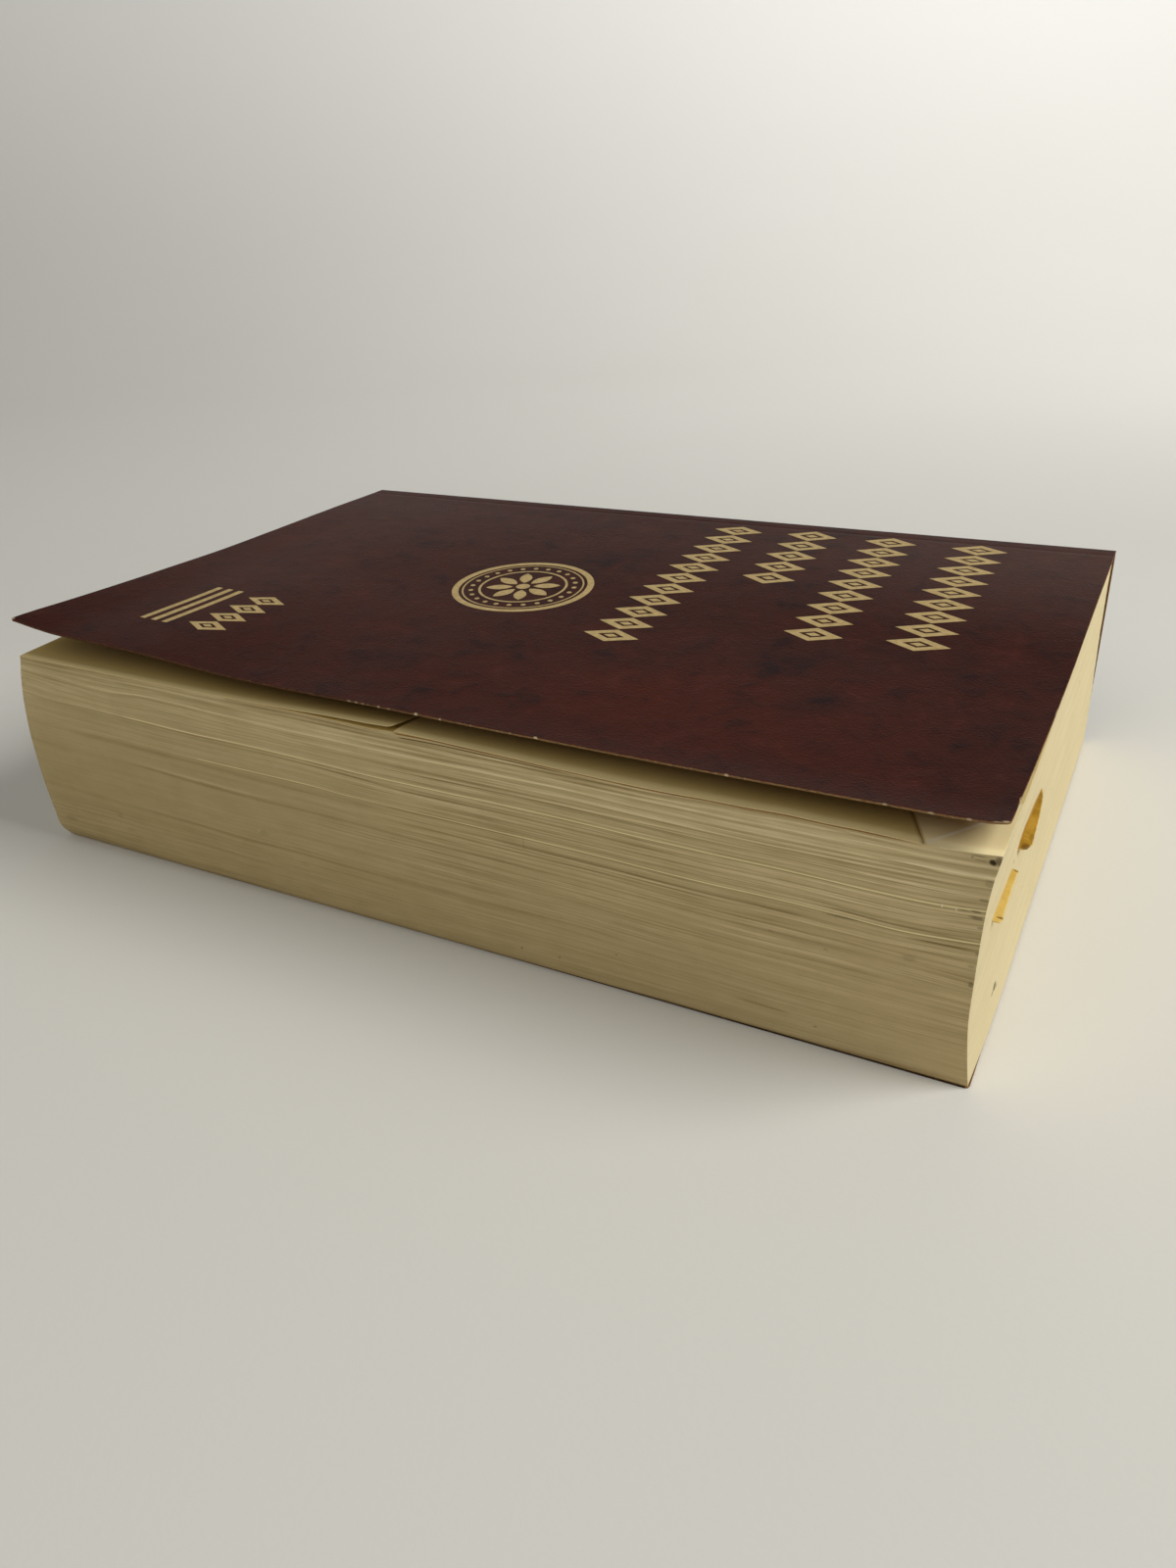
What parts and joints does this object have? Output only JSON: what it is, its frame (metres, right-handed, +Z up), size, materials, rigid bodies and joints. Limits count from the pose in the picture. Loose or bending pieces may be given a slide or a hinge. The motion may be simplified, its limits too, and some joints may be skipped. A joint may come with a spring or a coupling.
{
  "type": "paperback book",
  "caption": "Thick perfect-bound paperback book lying flat: curled leather-look card cover with plain gold shapes, worn leaves and index tabs at the head edge.",
  "frame": {"origin": "middle of the footprint, on the surface that the book lies on", "axes": "+X from the tail edge to the head edge, +Y from the fore-edge to the spine, +Z up out of the front cover"},
  "size_m": [0.2186, 0.1428, 0.0563],
  "materials": {
    "leaf_paper": "matte",
    "cover_card": "satin",
    "binding_glue": "matte",
    "tab_ochre": "matte",
    "tab_pale": "matte"
  },
  "bodies": {
    "book_block": {"text_block": "leaf_paper", "cover_spine": "cover_card", "spine_glue": "binding_glue", "index_tab_long": "tab_ochre", "index_tab_short": "tab_pale"},
    "front_panel": {"front_cover": "cover_card"},
    "back_panel": {"back_cover": "cover_card"}
  },
  "joints": [
    {"name": "front_cover_fold", "type": "hinge", "parent": "book_block", "child": "front_panel", "pos_m": [0, 0.07116, 0.0492], "axis": [-0.9999, 0, -0.0148], "range_deg": [0, 180]},
    {"name": "back_cover_fold", "type": "hinge", "parent": "book_block", "child": "back_panel", "pos_m": [0, 0.07116, 0.0002], "axis": [1, 0, 0], "range_deg": [0, 180]}
  ]
}
